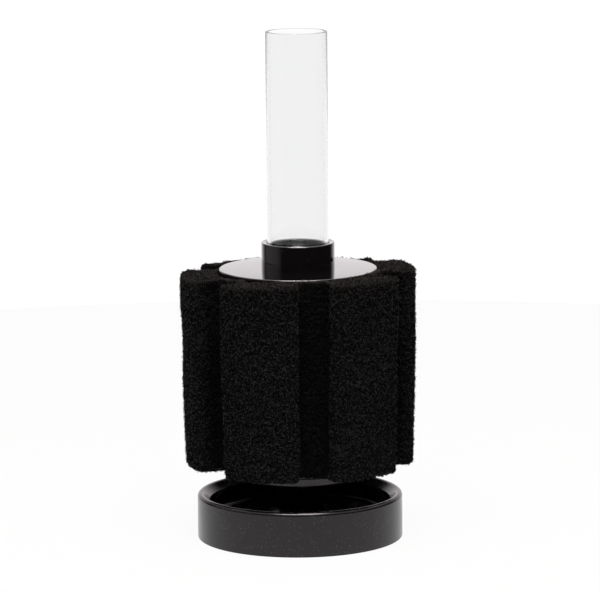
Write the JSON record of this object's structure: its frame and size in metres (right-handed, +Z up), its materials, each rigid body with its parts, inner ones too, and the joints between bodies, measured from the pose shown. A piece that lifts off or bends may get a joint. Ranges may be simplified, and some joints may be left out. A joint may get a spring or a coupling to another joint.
{
  "type": "aquarium sponge filter",
  "caption": "Air-lift sponge filter: weighted round base, lobed black foam on a slotted core, disc cap with collar and a clear upright riser pipe.",
  "frame": {"origin": "middle of the base's underside, on the surface it stands on", "axes": "+Z up along the riser pipe, -Y towards the front"},
  "size_m": [0.0986, 0.0982, 0.2153],
  "materials": {
    "base_black": "gloss",
    "ballast": "matte",
    "cover_black": "satin",
    "core_black": "satin",
    "air_white": "satin",
    "air_pipe_clear": "gloss",
    "foam_black": "matte",
    "cap_black": "gloss",
    "riser_clear": "gloss"
  },
  "bodies": {
    "base": {"base_shell": "base_black", "ballast_ring": "ballast", "base_cover": "cover_black"},
    "core": {"lower_plate": "core_black", "strainer_tube": "core_black", "air_nozzle": "air_white", "air_pipe": "air_pipe_clear", "air_diffuser": "air_white"},
    "sponge": {"sponge": "foam_black"},
    "cap": {"top_cap": "cap_black"},
    "riser": {"riser_tube": "riser_clear"}
  },
  "joints": [
    {"name": "core_lift", "type": "slide", "parent": "base", "child": "core", "axis": [0, 0, 1], "range_m": [0, 0.03]},
    {"name": "sponge_lift", "type": "slide", "parent": "core", "child": "sponge", "axis": [0, 0, 1], "range_m": [0, 0.1]},
    {"name": "cap_lift", "type": "slide", "parent": "sponge", "child": "cap", "axis": [0, 0, 1], "range_m": [0, 0.03]},
    {"name": "riser_lift", "type": "slide", "parent": "cap", "child": "riser", "axis": [0, 0, 1], "range_m": [0, 0.03]}
  ]
}
